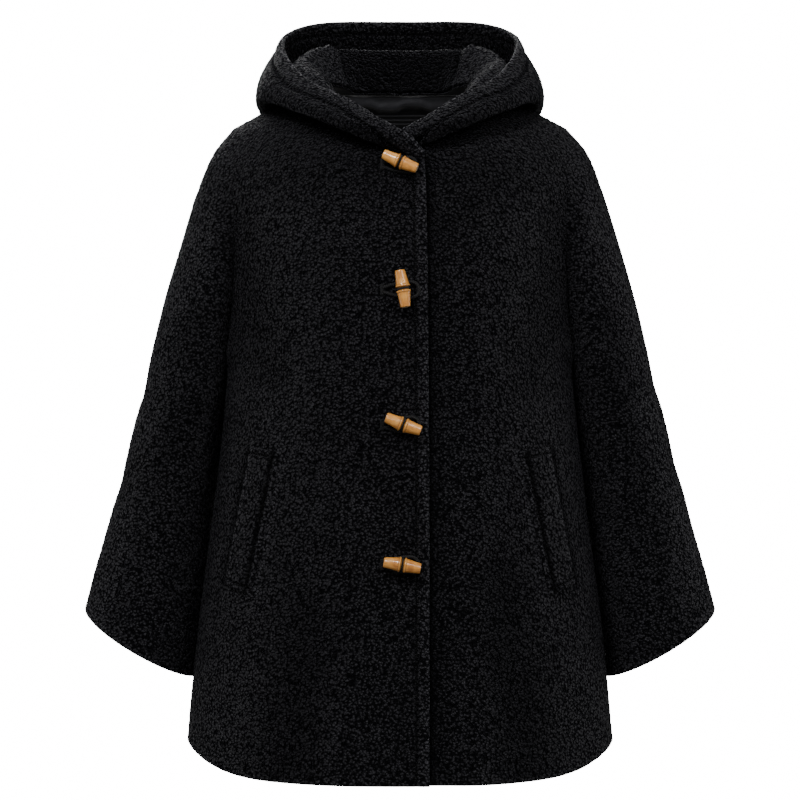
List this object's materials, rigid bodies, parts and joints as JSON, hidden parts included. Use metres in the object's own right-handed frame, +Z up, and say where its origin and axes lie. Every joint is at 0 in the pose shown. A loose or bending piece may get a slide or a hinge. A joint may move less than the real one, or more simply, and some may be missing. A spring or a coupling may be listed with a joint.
{
  "type": "toggle coat",
  "caption": "Hooded, hip-length coat of black curled wool with wide sleeves, bamboo toggles in cord loops and slanted welt pockets, in its worn shape.",
  "frame": {"origin": "middle of the wearer's shoulders, inside the coat, level with the top of the shoulders", "axes": "+Z up, -Y the front of the coat, +X the wearer's left"},
  "size_m": [0.7668, 0.3833, 0.9199],
  "materials": {
    "cloth": "matte",
    "lining": "satin",
    "toggle": "gloss",
    "cord": "satin"
  },
  "bodies": {
    "root": {"back": "cloth", "front_left": "cloth", "front_right": "cloth", "hood_left": "cloth", "hood_right": "cloth", "loop_1": "cord", "loop_2": "cord", "loop_3": "cord", "loop_4": "cord", "loop_tab_1": "cord", "loop_tab_2": "cord", "loop_tab_3": "cord", "loop_tab_4": "cord", "neck_lining": "lining", "sleeve_left_back": "cloth", "sleeve_left_front": "cloth", "sleeve_right_back": "cloth", "sleeve_right_front": "cloth", "toggle_1": "toggle", "toggle_2": "toggle", "toggle_3": "toggle", "toggle_4": "toggle", "toggle_tie_1": "cord", "toggle_tie_2": "cord", "toggle_tie_3": "cord", "toggle_tie_4": "cord", "welt_left": "cloth", "welt_right": "cloth"}
  },
  "joints": []
}
